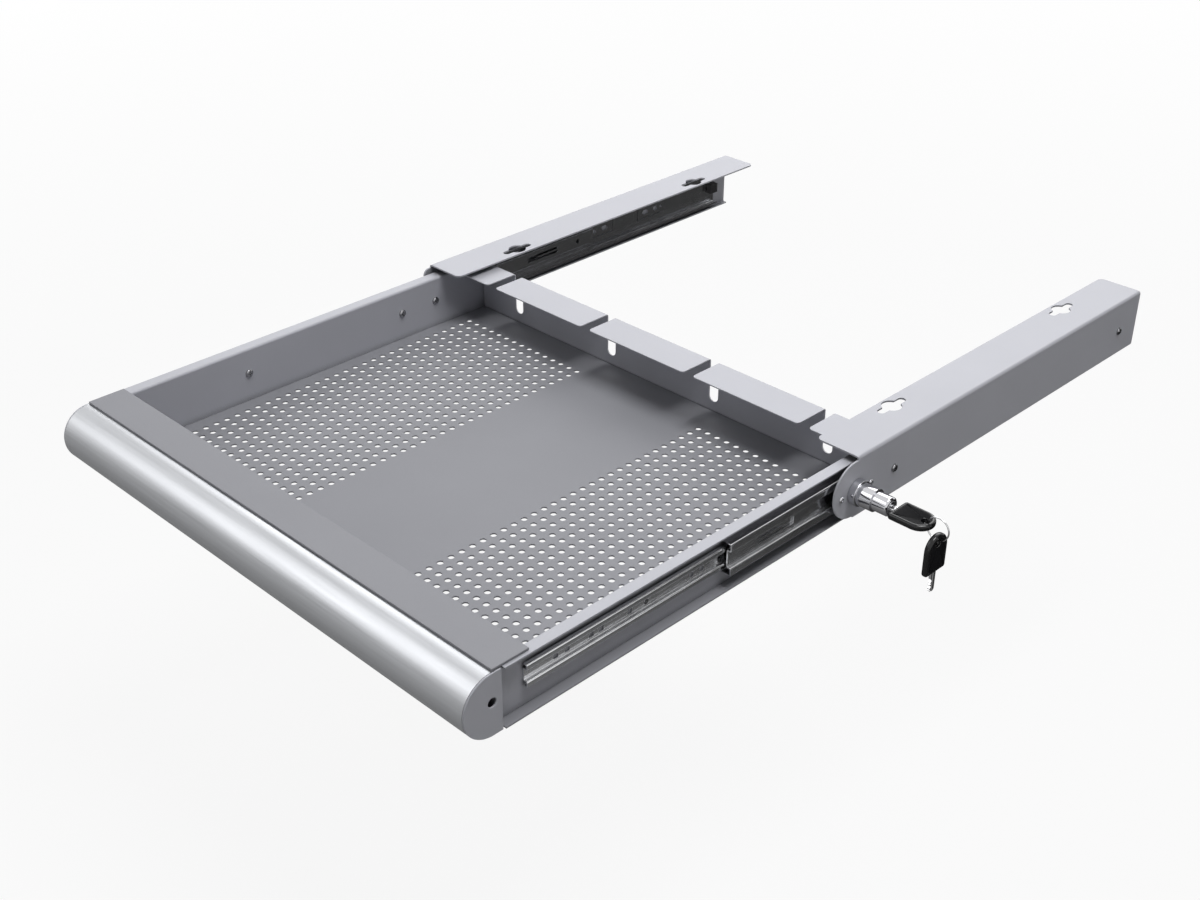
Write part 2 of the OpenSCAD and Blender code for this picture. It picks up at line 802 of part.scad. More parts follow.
module inner_cage(side) cage(side, inner_cage_y, inner_cage_t, inner_ball_t, inner_ball_v);
module inner_balls(side) balls(side, inner_cage_y, inner_ball_t, inner_ball_v);
module outer_cage(side) cage(side, outer_cage_y, outer_cage_t, outer_ball_t, outer_ball_v);
module outer_balls(side) balls(side, outer_cage_y, outer_ball_t, outer_ball_v);

// Brackets

// A round hole with a slot to the front and the back
module keyhole(y) {
    slot_r = keyhole_slot_w / 2;
    reach = keyhole_slot_len / 2 - slot_r;
    translate([keyhole_x, y, bracket_top_z - bracket_t - past]) {
        cylinder(h = bracket_t + 2 * past, d = keyhole_d);
        for (dir = [-1, 1])
            translate([0, dir * reach, 0]) cylinder(h = bracket_t + 2 * past, r = slot_r);
        translate([-slot_r, -reach, 0]) cube([keyhole_slot_w, 2 * reach, bracket_t + 2 * past]);
    }
}

// Rounds the inner corner of a top flange at y, whose metal lies towards dir
module bracket_corner(y, dir) {
    r = bracket_corner_r;
    x = bracket_out - bracket_flange_w;
    translate([x, y, bracket_top_z - bracket_t - past])
        difference() {
            translate([-past, dir > 0 ? -past : -r, 0]) cube([r + past, r + past, bracket_t + 2 * past]);
            translate([r, dir * r, -past]) cylinder(h = bracket_t + 4 * past, r = r);
        }
}

// The round front of the right bracket's web, in Y and Z
module round_front() {
    nose_r = nose_h / 2;
    centre_y = bracket_front_y - nose_reach + nose_r;
    intersection() {
        union() {
            translate([centre_y, nose_z]) circle(r = nose_r, $fn = 96);
            translate([centre_y, nose_z - nose_r]) square([nose_reach, nose_h]);
        }
        translate([bracket_front_y - nose_reach, nose_z - nose_r]) square([nose_reach, nose_h]);
    }
}

// The short front of the left bracket's web, in Y and Z, with its two corners rounded
module short_front() {
    r = left_corner_r;
    front_y = bracket_front_y - left_reach;
    difference() {
        translate([front_y, nose_z - nose_h / 2]) square([left_reach, nose_h]);
        for (dir = [-1, 1])
            translate([front_y, nose_z + dir * nose_h / 2])
                difference() {
                    square(2 * r, center = true);
                    translate([r, -dir * r]) circle(r = r);
                }
    }
}

module bracket(side) {
    web_mid = bracket_out - bracket_t / 2;
    top_mid = bracket_top_z - bracket_t / 2;
    bottom_mid = bracket_bottom_z + bracket_t / 2;
    color(tray_grey)
        on_side(side)
            difference() {
                union() {
                    along_y(bracket_front_y, bracket_back_y)
                        bent_sheet(
                            [[bracket_out - bracket_flange_w, top_mid], [web_mid, top_mid],
                                [web_mid, bottom_mid], [lip_edge, bottom_mid]],
                            bracket_t, bracket_bend_r - bracket_t / 2
                        );
                    along_x(bracket_in, bracket_out) {
                        if (side == RIGHT) round_front();
                        if (side == LEFT) short_front();
                    }
                }
                for (y = keyhole_y) keyhole(y);
                bracket_corner(bracket_front_y, 1);
                bracket_corner(bracket_back_y, -1);
                for (y = bracket_screw_y)
                    rod_x(bracket_in - past, bracket_out + past, screw_d / 2 + screw_gap, y, slide_z);
                if (side == RIGHT) lock_holes();
            }
}

// The holes for the lock's sleeve and its two screws
module lock_holes() {
    rod_x(bracket_in - past, bracket_out + past, sleeve_d / 2 + plunger_gap, lock_y, lock_z);
    for (dir = [-1, 1])
        rod_x(bracket_in - past, bracket_out + past, lock_screw_d / 2 + screw_gap,
            lock_y + dir * lock_screw_off, lock_z);
}

// Lock

module lock_housing() {
    end_r = lock_plate_h / 2;
    flat_l = lock_plate_l - lock_plate_h;
    color(bright_chrome)
        difference() {
            union() {
                along_x(lock_plate_x, bracket_in) {
                    translate([lock_y - flat_l / 2, lock_z - end_r]) square([flat_l, lock_plate_h]);
                    for (dir = [-1, 1])
                        translate([lock_y + dir * flat_l / 2, lock_z]) circle(r = end_r);
                }
                rod_x(lock_plate_x, sleeve_x, sleeve_d / 2, lock_y, lock_z);
            }
            rod_x(lock_web_x, sleeve_x + past, plunger_d / 2 + plunger_gap, lock_y, lock_z);
            rod_x(lock_plate_x - past, lock_web_x + past, bolt_d / 2 + plunger_gap, lock_y, lock_z);
            for (dir = [-1, 1])
                rod_x(lock_plate_x - past, bracket_in + past, lock_screw_d / 2 + screw_gap,
                    lock_y + dir * lock_screw_off, lock_z);
        }
}

module lock_collar() {
    color(bright_chrome)
        difference() {
            rod_x(bracket_out, bracket_out + collar_t, collar_d / 2, lock_y, lock_z);
            rod_x(bracket_out - past, bracket_out + collar_t + past,
                sleeve_d / 2 + plunger_gap, lock_y, lock_z);
        }
}

module lock_plunger() {
    color(bright_chrome)
        difference() {
            union() {
                rod_x(plunger_in_x, plunger_x - plunger_bevel, plunger_d / 2, lock_y, lock_z);
                translate([plunger_x - plunger_bevel, lock_y, lock_z])
                    rotate([0, 90, 0])
                        cylinder(h = plunger_bevel, d1 = plunger_d, d2 = plunger_d - 2 * plunger_bevel);
            }
            rod_x(plug_x, plunger_x + past, plug_d / 2 + plunger_gap, lock_y, lock_z);
            difference() {
                rod_x(plunger_in_x - past, spring_pocket_x, spring_pocket_d / 2, lock_y, lock_z);
                rod_x(plunger_in_x - 2 * past, spring_pocket_x + past, bolt_d / 2, lock_y, lock_z);
            }
        }
    color(bright_chrome)
        rod_x(bolt_tip_x, plunger_in_x, bolt_d / 2, lock_y, lock_z);
}

module lock_plug() {
    slot_w = key_blade_w + 2 * key_gap;
    slot_t = key_blade_t + 2 * key_gap;
    color(steel)
        difference() {
            rod_x(plug_x, plunger_x + plug_proud, plug_d / 2, lock_y, lock_z);
            translate([plug_x - past, lock_y - slot_w / 2, lock_z - slot_t / 2])
                cube([plug_len + 2 * past + plug_proud, slot_w, slot_t]);
        }
}

// One ring of points round the spring's wire at a given share of its length
function spring_ring(share) =
    let (
        turn = 360 * spring_turns * share,
        x0 = lock_web_x + spring_wire_d / 2 + spring_seat_gap,
        x1 = spring_pocket_x - spring_wire_d / 2 - spring_seat_gap
    )
    [for (k = [0 : spring_sides - 1])
        let (a = 360 * k / spring_sides, r = spring_mean_d / 2 + spring_wire_d / 2 * cos(a))
        [x0 + (x1 - x0) * share + spring_wire_d / 2 * sin(a),
            lock_y + r * cos(turn), lock_z + r * sin(turn)]];

module lock_spring() {
    n = spring_sides;
    color(steel)
        polyhedron(
            points = [for (i = [0 : spring_rings]) each spring_ring(i / spring_rings)],
            faces = concat(
                [[for (k = [0 : n - 1]) k]],
                [for (i = [0 : spring_rings - 1], k = [0 : n - 1])
                    let (a = i * n + k, b = i * n + (k + 1) % n)
                    [a, a + n, b + n, b]],
                [[for (k = [n - 1 : -1 : 0]) spring_rings * n + k]]
            )
        );
}

// Keys

// A key head lying flat, its square end at 0 and its round end towards +X
module key_head_shape() {
    end_r = key_head_w / 2;
    corner_r = key_corner_r;
    difference() {
        translate([0, 0, -key_head_t / 2])
            linear_extrude(key_head_t) {
                translate([key_head_l - end_r, 0]) circle(r = end_r, $fn = 64);
                translate([corner_r, -end_r])
                    square([key_head_l - end_r - corner_r, key_head_w]);
                translate([0, corner_r - end_r]) square([2 * corner_r, key_head_w - 2 * corner_r]);
                for (dir = [-1, 1])
                    translate([corner_r, dir * (end_r - corner_r)]) circle(r = corner_r);
            }
        translate([key_head_l - key_hole_inset, 0, -key_head_t])
            cylinder(h = 2 * key_head_t, d = key_hole_d);
        translate([-past, -key_blade_w / 2, -key_blade_t / 2])
            cube([key_tang + past, key_blade_w, key_blade_t]);
    }
}

// A key blade with its cuts on one edge, its tang inside the head up to key_tang
module key_blade_shape(blade_l) {
    difference() {
        translate([-blade_l, -key_blade_w / 2, -key_blade_t / 2])
            cube([blade_l + key_tang, key_blade_w, key_blade_t]);
        for (i = [0 : len(cut_depth) - 1])
            let (cut = cut_depth[i] * cut_share)
                translate([-blade_l + cut_start + i * cut_pitch, -key_blade_w / 2, 0])
                    rotate(45) cube([cut, cut, 2 * key_blade_t], center = true);
        for (dir = [-1, 1])
            translate([-blade_l, dir * key_blade_w / 2, 0])
                rotate(45) cube([tip_bevel, tip_bevel, 2 * key_blade_t], center = true);
    }
}

module in_lock() translate([key_head_x, lock_y, lock_z]) children();

// The spare key hangs from the bottom of the ring, with its blade down
module on_ring()
    translate([ring_x, lock_y, spare_top_z - key_head_l])
        rotate([0, -90, 0])
            children();

module key_head() color(black_plastic) in_lock() key_head_shape();
module key_blade() color(bright_chrome) in_lock() key_blade_shape(key_blade_l);
module spare_key_head() color(black_plastic) on_ring() key_head_shape();
module spare_key_blade() color(bright_chrome) on_ring() key_blade_shape(key_blade_l);

module key_ring() {
    color(bright_chrome)
        translate([ring_x, lock_y, lock_z])
            rotate([90, 0, 0])
                rotate_extrude($fn = 64)
                    translate([ring_r, 0]) circle(d = ring_wire_d, $fn = 16);
}

under_desk() drawer_floor();
under_desk() side_wall(LEFT);  // side_wall_left
under_desk() side_wall(RIGHT);  // side_wall_right
under_desk() front_wall();
under_desk() rear_wall();
under_desk() handle_bar();
under_desk() end_cap(LEFT);  // end_cap_left
under_desk() end_cap(RIGHT);  // end_cap_right
under_desk() cover_strip();
under_desk() handle_screws();
under_desk() inner_slide(LEFT);  // inner_slide_left
under_desk() inner_slide(RIGHT);  // inner_slide_right
under_desk() slide_screws();
under_desk() middle_slide(LEFT);  // middle_slide_left
under_desk() middle_slide(RIGHT);  // middle_slide_right
under_desk() outer_slide(LEFT);  // outer_slide_left
under_desk() outer_slide(RIGHT);  // outer_slide_right
under_desk() rear_bumper(LEFT);  // rear_bumper_left
under_desk() rear_bumper(RIGHT);  // rear_bumper_right
under_desk() inner_cage(LEFT);  // inner_cage_left
under_desk() inner_cage(RIGHT);  // inner_cage_right
under_desk() inner_balls(LEFT);  // inner_balls_left
under_desk() inner_balls(RIGHT);  // inner_balls_right
under_desk() outer_cage(LEFT);  // outer_cage_left
under_desk() outer_cage(RIGHT);  // outer_cage_right
under_desk() outer_balls(LEFT);  // outer_balls_left
under_desk() outer_balls(RIGHT);  // outer_balls_right
under_desk() bracket(LEFT);  // bracket_left
under_desk() bracket(RIGHT);  // bracket_right
under_desk() bracket_screws();
under_desk() lock_housing();
under_desk() lock_collar();
under_desk() lock_screws();
under_desk() lock_spring();
under_desk() lock_plunger();
under_desk() lock_plug();
under_desk() key_blade();
under_desk() key_head();
under_desk() key_ring();
under_desk() spare_key_blade();
under_desk() spare_key_head();
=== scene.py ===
"""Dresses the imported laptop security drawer: finishes, machined and moulded detail, studio and camera."""
import json
import math
import bpy
import bmesh
import numpy as np
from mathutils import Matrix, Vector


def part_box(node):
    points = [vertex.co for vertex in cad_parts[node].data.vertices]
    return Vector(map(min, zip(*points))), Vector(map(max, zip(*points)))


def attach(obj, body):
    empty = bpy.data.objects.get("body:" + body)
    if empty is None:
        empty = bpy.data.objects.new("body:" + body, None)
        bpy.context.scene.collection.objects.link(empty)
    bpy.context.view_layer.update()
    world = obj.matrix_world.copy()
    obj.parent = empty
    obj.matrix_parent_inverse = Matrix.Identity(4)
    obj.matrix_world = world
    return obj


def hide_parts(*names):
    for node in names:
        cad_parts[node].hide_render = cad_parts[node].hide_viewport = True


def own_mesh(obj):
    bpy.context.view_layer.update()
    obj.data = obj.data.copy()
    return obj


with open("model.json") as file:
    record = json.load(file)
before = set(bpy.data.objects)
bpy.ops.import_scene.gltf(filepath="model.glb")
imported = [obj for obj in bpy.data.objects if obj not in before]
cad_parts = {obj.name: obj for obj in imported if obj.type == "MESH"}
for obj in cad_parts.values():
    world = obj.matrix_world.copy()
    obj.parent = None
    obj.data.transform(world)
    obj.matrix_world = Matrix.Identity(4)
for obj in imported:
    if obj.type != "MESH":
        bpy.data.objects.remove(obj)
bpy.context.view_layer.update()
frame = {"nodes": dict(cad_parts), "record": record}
NODES = frame["nodes"]
MM = 0.001
WHITE = (1, 1, 1, 1)


# Surfaces

def grid_faces(rows, columns, round_rows=False, round_columns=False):
    """The quads of a grid of points, row by row, closed where it runs round."""
    r = np.arange(rows if round_rows else rows - 1)[:, None]
    c = np.arange(columns if round_columns else columns - 1)[None, :]
    r2 = (r + 1) % rows
    c2 = (c + 1) % columns
    corners = (r * columns + c, r * columns + c2, r2 * columns + c2, r2 * columns + c)
    return np.stack(np.broadcast_arrays(*corners), 2).reshape(-1, 4)


def grid_mesh(name, points, round_rows=False, round_columns=False, caps=()):
    """A mesh over points[row, column]; each row number in caps is closed with one flat face."""
    rows, columns = points.shape[:2]
    faces = grid_faces(rows, columns, round_rows, round_columns).tolist()
    for row in caps:
        rim = list(range(row * columns, (row + 1) * columns))
        faces.append(rim if row else rim[::-1])
    mesh = bpy.data.meshes.new(name)
    mesh.from_pydata(points.reshape(-1, 3).tolist(), [], faces)
    shade_smooth(mesh)
    mesh.update()
    return mesh


def shade_smooth(mesh):
    mesh.polygons.foreach_set("use_smooth", np.ones(len(mesh.polygons), bool))


def solid_of(name, points, **closing):
    """A closed grid of millimetre points as a mesh in metres that faces outwards."""
    mesh = grid_mesh(name, points * MM, **closing)
    bm = bmesh.new()
    bm.from_mesh(mesh)
    bmesh.ops.remove_doubles(bm, verts=bm.verts, dist=1e-6)
    bmesh.ops.recalc_face_normals(bm, faces=bm.faces)
    bm.to_mesh(mesh)
    bm.free()
    return mesh


def link(obj):
    bpy.context.scene.collection.objects.link(obj)
    return obj


def dress(obj, material):
    obj.data.materials.clear()
    obj.data.materials.append(material)


# Nodes

def empty_tree(block):
    """The node tree of a material or world, with nothing in it yet."""
    block.use_nodes = True
    block.node_tree.nodes.clear()
    return block.node_tree


def add(tree, kind, **sockets):
    """A new node. Each socket is given by its name in lower case, with _ for a space."""
    node = tree.nodes.new(kind)
    by_name = {socket.name.lower().replace(" ", "_"): socket for socket in reversed(node.inputs)}
    for name, value in sockets.items():
        by_name[name].default_value = value
    return node


def add_math(tree, kind, operation, *values):
    """A math node of the given kind that works on the outputs in values."""
    node = add(tree, kind)
    node.operation = operation
    for value, socket in zip(values, node.inputs):
        tree.links.new(value, socket)
    return node


def seen_directly(tree):
    """1 for camera, glossy and transmission rays, which all see the white background."""
    path = add(tree, "ShaderNodeLightPath").outputs
    seen = add_math(tree, "ShaderNodeMath", "MAXIMUM", path["Is Camera Ray"], path["Is Glossy Ray"])
    seen = add_math(tree, "ShaderNodeMath", "MAXIMUM", seen.outputs[0], path["Is Transmission Ray"])
    return seen.outputs[0]


def mix_shaders(tree, out, share, first, second):
    """Shows first where share is 0 and second where it is 1."""
    mix = add(tree, "ShaderNodeMixShader")
    tree.links.new(share, mix.inputs[0])
    tree.links.new(first.outputs[0], mix.inputs[1])
    tree.links.new(second.outputs[0], mix.inputs[2])
    tree.links.new(mix.outputs[0], out.inputs[0])


# Studio and camera

LENS_MM = 48.21
SENSOR_MM = 36.0
SHIFT_X = 0.0025
SHIFT_Y = 0.0033
CLIP_NEAR = 0.01
CLIP_FAR = 50.0
CAMERA_AT = (0.8090, -1.0298, 0.5862)
CAMERA_PITCH = 59.47
CAMERA_YAW = 45.17


def make_camera():
    data = bpy.data.cameras.new("camera")
    data.lens = LENS_MM
    data.sensor_width = SENSOR_MM
    data.shift_x = SHIFT_X
    data.shift_y = SHIFT_Y
    data.clip_start = CLIP_NEAR
    data.clip_end = CLIP_FAR
    camera = link(bpy.data.objects.new("camera", data))
    camera.location = CAMERA_AT
    camera.rotation_euler = (math.radians(CAMERA_PITCH), 0, math.radians(CAMERA_YAW))
    bpy.context.scene.camera = camera


def area_lamp(name, place, aim, width, height, watts):
    """A rectangular lamp at place that shines towards aim."""
    data = bpy.data.lights.new(name, "AREA")
    data.shape = "RECTANGLE"
    data.size = width
    data.size_y = height
    data.energy = watts
    lamp = link(bpy.data.objects.new(name, data))
    lamp.location = place
    x, y, z = np.array(aim) - np.array(place)
    lamp.rotation_euler = (math.atan2(math.hypot(x, y), -z), 0, math.atan2(-x, y))


AMBIENT = 0.12


def make_world():
    world = bpy.data.worlds.new("studio")
    tree = empty_tree(world)
    out = add(tree, "ShaderNodeOutputWorld")
    soft = add(tree, "ShaderNodeBackground", color=WHITE, strength=AMBIENT)
    white = add(tree, "ShaderNodeBackground", color=WHITE, strength=1.0)
    mix_shaders(tree, out, seen_directly(tree), soft, white)
    bpy.context.scene.world = world


FLOOR_Z = -0.34
FLOOR_HALF = 30.0
FLOOR_PAINT = (0.6, 0.6, 0.6, 1)
FLOOR_GLOW = 0.9
SHADOW_REACH = 1.0
WHITE_REACH = 2.6


def make_floor():
    """A pale floor that shows the object's shadow round it and turns to plain white further out."""
    mesh = bpy.data.meshes.new("floor")
    h = FLOOR_HALF
    corners = [(-h, -h, FLOOR_Z), (h, -h, FLOOR_Z), (h, h, FLOOR_Z), (-h, h, FLOOR_Z)]
    mesh.from_pydata(corners, [], [(0, 1, 2, 3)])
    floor = link(bpy.data.objects.new("floor", mesh))
    material = bpy.data.materials.new("pale floor")
    tree = empty_tree(material)
    out = add(tree, "ShaderNodeOutputMaterial")
    paint = add(tree, "ShaderNodeBsdfDiffuse", color=FLOOR_PAINT)
    glow = add(tree, "ShaderNodeEmission", color=WHITE, strength=1.0)
    place = add(tree, "ShaderNodeTexCoord").outputs["Object"]
    from_middle = add_math(tree, "ShaderNodeVectorMath", "LENGTH", place).outputs["Value"]
    whiter = add(tree, "ShaderNodeMapRange", from_min=SHADOW_REACH, from_max=WHITE_REACH, to_min=FLOOR_GLOW)
    tree.links.new(from_middle, whiter.inputs["Value"])
    share = add_math(tree, "ShaderNodeMath", "MULTIPLY", seen_directly(tree), whiter.outputs[0])
    mix_shaders(tree, out, share.outputs[0], paint, glow)
    dress(floor, material)


CARD_Z = -0.33
CARD_HALF = 2.6
CARD_RISE = 0.9
CARD_ROWS = 40
CARD_COLUMNS = 12
CARD_FRONT_Y = -1.25
CARD_BACK_Y = 0.1
CARD_FRONT_GLOW = 0.5
CARD_BACK_GLOW = 0.045
WING_X = 1.6
WING_Y = (0.7, 3.0)
WING_TOP = 2.2
WING_STEPS = 4


def curled_card():
    """The card under the object, which curls up in front of it: s runs from the back edge to the front one
    and on up a quarter circle of radius CARD_RISE."""
    flat = 2 * CARD_HALF - CARD_RISE
    s = np.linspace(0, flat + CARD_RISE * np.pi / 2, CARD_ROWS)
    turn = np.clip((s - flat) / CARD_RISE, 0, np.pi / 2)
    y = CARD_HALF - np.minimum(s, flat) - CARD_RISE * np.sin(turn)
    z = CARD_Z + CARD_RISE * (1 - np.cos(turn))
    x = np.linspace(-CARD_HALF, CARD_HALF, CARD_COLUMNS)
    return np.stack(np.broadcast_arrays(x[None, :], y[:, None], z[:, None]), 2)


def flat_wing():
    """The card that stands behind the object on the right: x is WING_X, and y and z run along its sides."""
    y = np.linspace(*WING_Y, WING_STEPS)[:, None]
    z = np.linspace(CARD_Z, WING_TOP, WING_STEPS)[None, :]
    return np.stack(np.broadcast_arrays(WING_X, y, z), 2)


def card_material():
    """A dark glow that grows paler from CARD_BACK_Y forwards to CARD_FRONT_Y."""
    material = bpy.data.materials.new("dark card")
    tree = empty_tree(material)
    out = add(tree, "ShaderNodeOutputMaterial")
    glow = add(tree, "ShaderNodeEmission", color=WHITE)
    place = add(tree, "ShaderNodeSeparateXYZ")
    tree.links.new(add(tree, "ShaderNodeTexCoord").outputs["Object"], place.inputs[0])
    fade = add(tree, "ShaderNodeMapRange", from_min=CARD_FRONT_Y, from_max=CARD_BACK_Y,
               to_min=CARD_FRONT_GLOW, to_max=CARD_BACK_GLOW)
    tree.links.new(place.outputs["Y"], fade.inputs["Value"])
    tree.links.new(fade.outputs[0], glow.inputs["Strength"])
    tree.links.new(glow.outputs[0], out.inputs[0])
    return material


def make_dark_cards():
    """Two dark cards that only reflections see."""
    material = card_material()
    for name, points in (("dark_card", curled_card()), ("dark_wing", flat_wing())):
        card = link(bpy.data.objects.new(name, grid_mesh(name, points)))
        dress(card, material)
        card.visible_camera = False
        card.visible_diffuse = False
        card.visible_shadow = False
        card.visible_transmission = False


# Finishes

NOISE_LOW = 0.3
NOISE_HIGH = 0.7
# Painted shade: the samples and the closest opening at which the powder coats are darkened most.
CREVICE_SAMPLES = 4
CREVICE_CLOSED = 0.15


class Finish:
    """A material whose colour, roughness and bump come from noise on the object's own coordinates."""

    def __init__(self, name, color, metallic, roughness):
        self.material = bpy.data.materials.new(name)
        self.tree = empty_tree(self.material)
        out = add(self.tree, "ShaderNodeOutputMaterial")
        self.shader = add(self.tree, "ShaderNodeBsdfPrincipled", base_color=(*color, 1), metallic=metallic,
                          roughness=roughness)
        self.tree.links.new(self.shader.outputs[0], out.inputs[0])
        self.color = color
        self.rough = roughness
        self.coords = add(self.tree, "ShaderNodeTexCoord").outputs["Object"]
        self.normal = None

    def noise(self, per_metre, detail, stretch=(1, 1, 1)):
        """Noise with per_metre lumps to the metre. A stretch below 1 draws it out along that axis."""
        mapping = add(self.tree, "ShaderNodeMapping", scale=stretch)
        self.tree.links.new(self.coords, mapping.inputs["Vector"])
        node = add(self.tree, "ShaderNodeTexNoise", scale=per_metre, detail=detail)
        self.tree.links.new(mapping.outputs[0], node.inputs["Vector"])
        return node.outputs["Fac"]

    def ranged(self, value, low, high):
        """Noise spread out to run from low to high."""
        node = add(self.tree, "ShaderNodeMapRange", from_min=NOISE_LOW, from_max=NOISE_HIGH, to_min=low,
                   to_max=high)
        self.tree.links.new(value, node.inputs["Value"])
        return node.outputs[0]

    def blended(self, blend, first, second):
        """A colour mix node between the sockets of two colours, with its result on the base colour."""
        mix = self.tree.nodes.new("ShaderNodeMix")
        mix.data_type = "RGBA"
        mix.blend_type = blend
        for socket, value in ((mix.inputs[6], first), (mix.inputs[7], second)):
            if isinstance(value, bpy.types.NodeSocket):
                self.tree.links.new(value, socket)
            else:
                socket.default_value = value
        self.tree.links.new(mix.outputs[2], self.shader.inputs["Base Color"])
        return mix

    def shaded(self, value, spread):
        """Lightens and darkens the colour by spread along value."""
        dark, light = [(*[min(1.0, c * k) for c in self.color], 1) for k in (1 - spread, 1 + spread)]
        mix = self.blended("MIX", dark, light)
        self.tree.links.new(self.ranged(value, 0, 1), mix.inputs["Factor"])

    def painted_shade(self, reach, open_share, shade):
        """Painted shade: darkens the colour down to shade where other faces within reach metres leave less
        than open_share of the sky."""
        crevice = add(self.tree, "ShaderNodeAmbientOcclusion", distance=reach)
        crevice.samples = CREVICE_SAMPLES
        depth = add(self.tree, "ShaderNodeMapRange", from_min=CREVICE_CLOSED, from_max=open_share,
                    to_min=shade)
        self.tree.links.new(crevice.outputs["AO"], depth.inputs["Value"])
        color = self.shader.inputs["Base Color"].links[0].from_socket
        self.blended("MULTIPLY", color, depth.outputs[0]).inputs["Factor"].default_value = 1.0

    def worn(self, value, spread):
        """Varies the roughness by spread along value."""
        ranged = self.ranged(value, self.rough - spread, self.rough + spread)
        self.tree.links.new(ranged, self.shader.inputs["Roughness"])

    def bumped(self, value, depth):
        """Raises the surface by up to depth metres along value, on top of the bumps so far."""
        bump = add(self.tree, "ShaderNodeBump", strength=1.0, distance=depth)
        self.tree.links.new(value, bump.inputs["Height"])
        if self.normal is not None:
            self.tree.links.new(self.normal, bump.inputs["Normal"])
        self.normal = bump.outputs[0]
        self.tree.links.new(self.normal, self.shader.inputs["Normal"])


# Painted shade of the powder coats: how far other faces are looked for, how open a place must be to keep
# its colour, and the darkest it gets. The walls look further, to paint the shade under the flanges.
CORNER_SHADE_REACH = 0.004
CORNER_SHADE_OPEN = 0.6
FLANGE_SHADE_REACH = 0.013
FLANGE_SHADE_OPEN = 0.72
SEAM_SHADE = 0.12


def powder_coat(name, color, roughness, seam_reach=CORNER_SHADE_REACH, seam_open=CORNER_SHADE_OPEN):
    """Satin metallic powder coat: an orange peel of about a millimetre over a fine grain, with painted
    shade that darkens the colour in seams, corners and under overhangs."""
    f = Finish(name, color, metallic=0.1, roughness=roughness)
    f.shaded(f.noise(per_metre=14, detail=3), spread=0.02)
    # Painted shade in seams, corners and under overhangs.
    f.painted_shade(seam_reach, seam_open, SEAM_SHADE)
    f.worn(f.noise(per_metre=1600, detail=2), spread=0.05)
    f.bumped(f.noise(per_metre=900, detail=2), depth=0.000012)
    f.bumped(f.noise(per_metre=4200, detail=1), depth=0.000004)
    return f.material


def brushed(name, color, roughness, stretch):
    """Metal with a grain drawn out by stretch."""
    f = Finish(name, color, metallic=1.0, roughness=roughness)
    lines = f.noise(per_metre=700, detail=4, stretch=stretch)
    f.shaded(lines, spread=0.03)
    f.worn(lines, spread=0.06)
    f.bumped(lines, depth=0.000006)
    return f.material


def zinc(name, color, roughness):
    """Zinc plate: faint cloudy patches of a few millimetres and long light rubbing marks along the rail."""
    f = Finish(name, color, metallic=1.0, roughness=roughness)
    f.shaded(f.noise(per_metre=90, detail=3), spread=0.05)
    f.worn(f.noise(per_metre=500, detail=3, stretch=(1, 0.02, 1)), spread=0.05)
    f.bumped(f.noise(per_metre=700, detail=2, stretch=(1, 0.01, 1)), depth=0.0000012)
    return f.material


def moulded(name, color, roughness, grain, depth, shine=0.5):
    """Moulded plastic or rubber with an even grain of that many lumps to the metre."""
    f = Finish(name, color, metallic=0.0, roughness=roughness)
    f.shader.inputs["Specular IOR Level"].default_value = shine
    f.worn(f.noise(per_metre=350, detail=3), spread=0.06)
    f.bumped(f.noise(per_metre=grain, detail=2), depth=depth)
    return f.material


def polished(name, color, roughness):
    """Bright plating with faint rubbing marks."""
    f = Finish(name, color, metallic=1.0, roughness=roughness)
    f.worn(f.noise(per_metre=420, detail=4), spread=roughness * 0.5)
    f.bumped(f.noise(per_metre=260, detail=2), depth=0.000002)
    return f.material


def drawn_chrome(name, color, roughness):
    """Bright plating over a turned and polished casting, with slow waves along the axis."""
    f = Finish(name, color, metallic=1.0, roughness=roughness)
    f.worn(f.noise(per_metre=420, detail=4), spread=roughness * 0.5)
    f.bumped(f.noise(per_metre=240, detail=2, stretch=(0.12, 1, 1)), depth=0.00012)
    return f.material


TRAY_GREY = (0.44, 0.445, 0.485)
DARK_GREY = (0.25, 0.253, 0.275)
# The powder coats all carry painted shade in their seams, corners and under overhangs.
FINISHES = {
    "tray_steel": powder_coat("grey powder coat", TRAY_GREY, 0.56),
    "cover_steel": powder_coat("darker powder coat", DARK_GREY, 0.66),
    "handle_aluminium": brushed("satin aluminium", (0.50, 0.51, 0.53), 0.36, stretch=(0.02, 1, 1)),
    "slide_steel": zinc("zinc plated steel", (0.74, 0.745, 0.76), 0.19),
    "screw_steel": polished("zinc plated screws", (0.36, 0.36, 0.375), 0.2),
    "ball_steel": polished("ball steel", (0.8, 0.8, 0.82), 0.08),
    "bumper_rubber": moulded("black rubber", (0.03, 0.03, 0.032), 0.7, grain=1500, depth=0.00001),
    "lock_chrome": drawn_chrome("lock chrome", (0.62, 0.62, 0.645), 0.07),
    "spring_steel": polished("spring wire", (0.5, 0.5, 0.52), 0.25),
    "plug_steel": brushed("turned plug", (0.6, 0.6, 0.62), 0.22, stretch=(1, 1, 1)),
    "key_steel": polished("nickel plated keys", (0.7, 0.7, 0.71), 0.16),
    "key_plastic": moulded("polished key plastic", (0.008, 0.008, 0.009), 0.12, grain=1800, depth=0.000001,
                           shine=0.4),
}
KEY_PANEL = moulded("grained key plastic", (0.006, 0.006, 0.007), 0.5, grain=3200, depth=0.00001,
                    shine=0.06)
# Painted shade: the drawer floor is the tray's own paint, given the cover strip's darker grey to stand for
# the shade that falls on it inside the tray.
PERFORATED_DARKENED_AS_SHADE = powder_coat("perforated floor coat darkened as shade", DARK_GREY, 0.7)
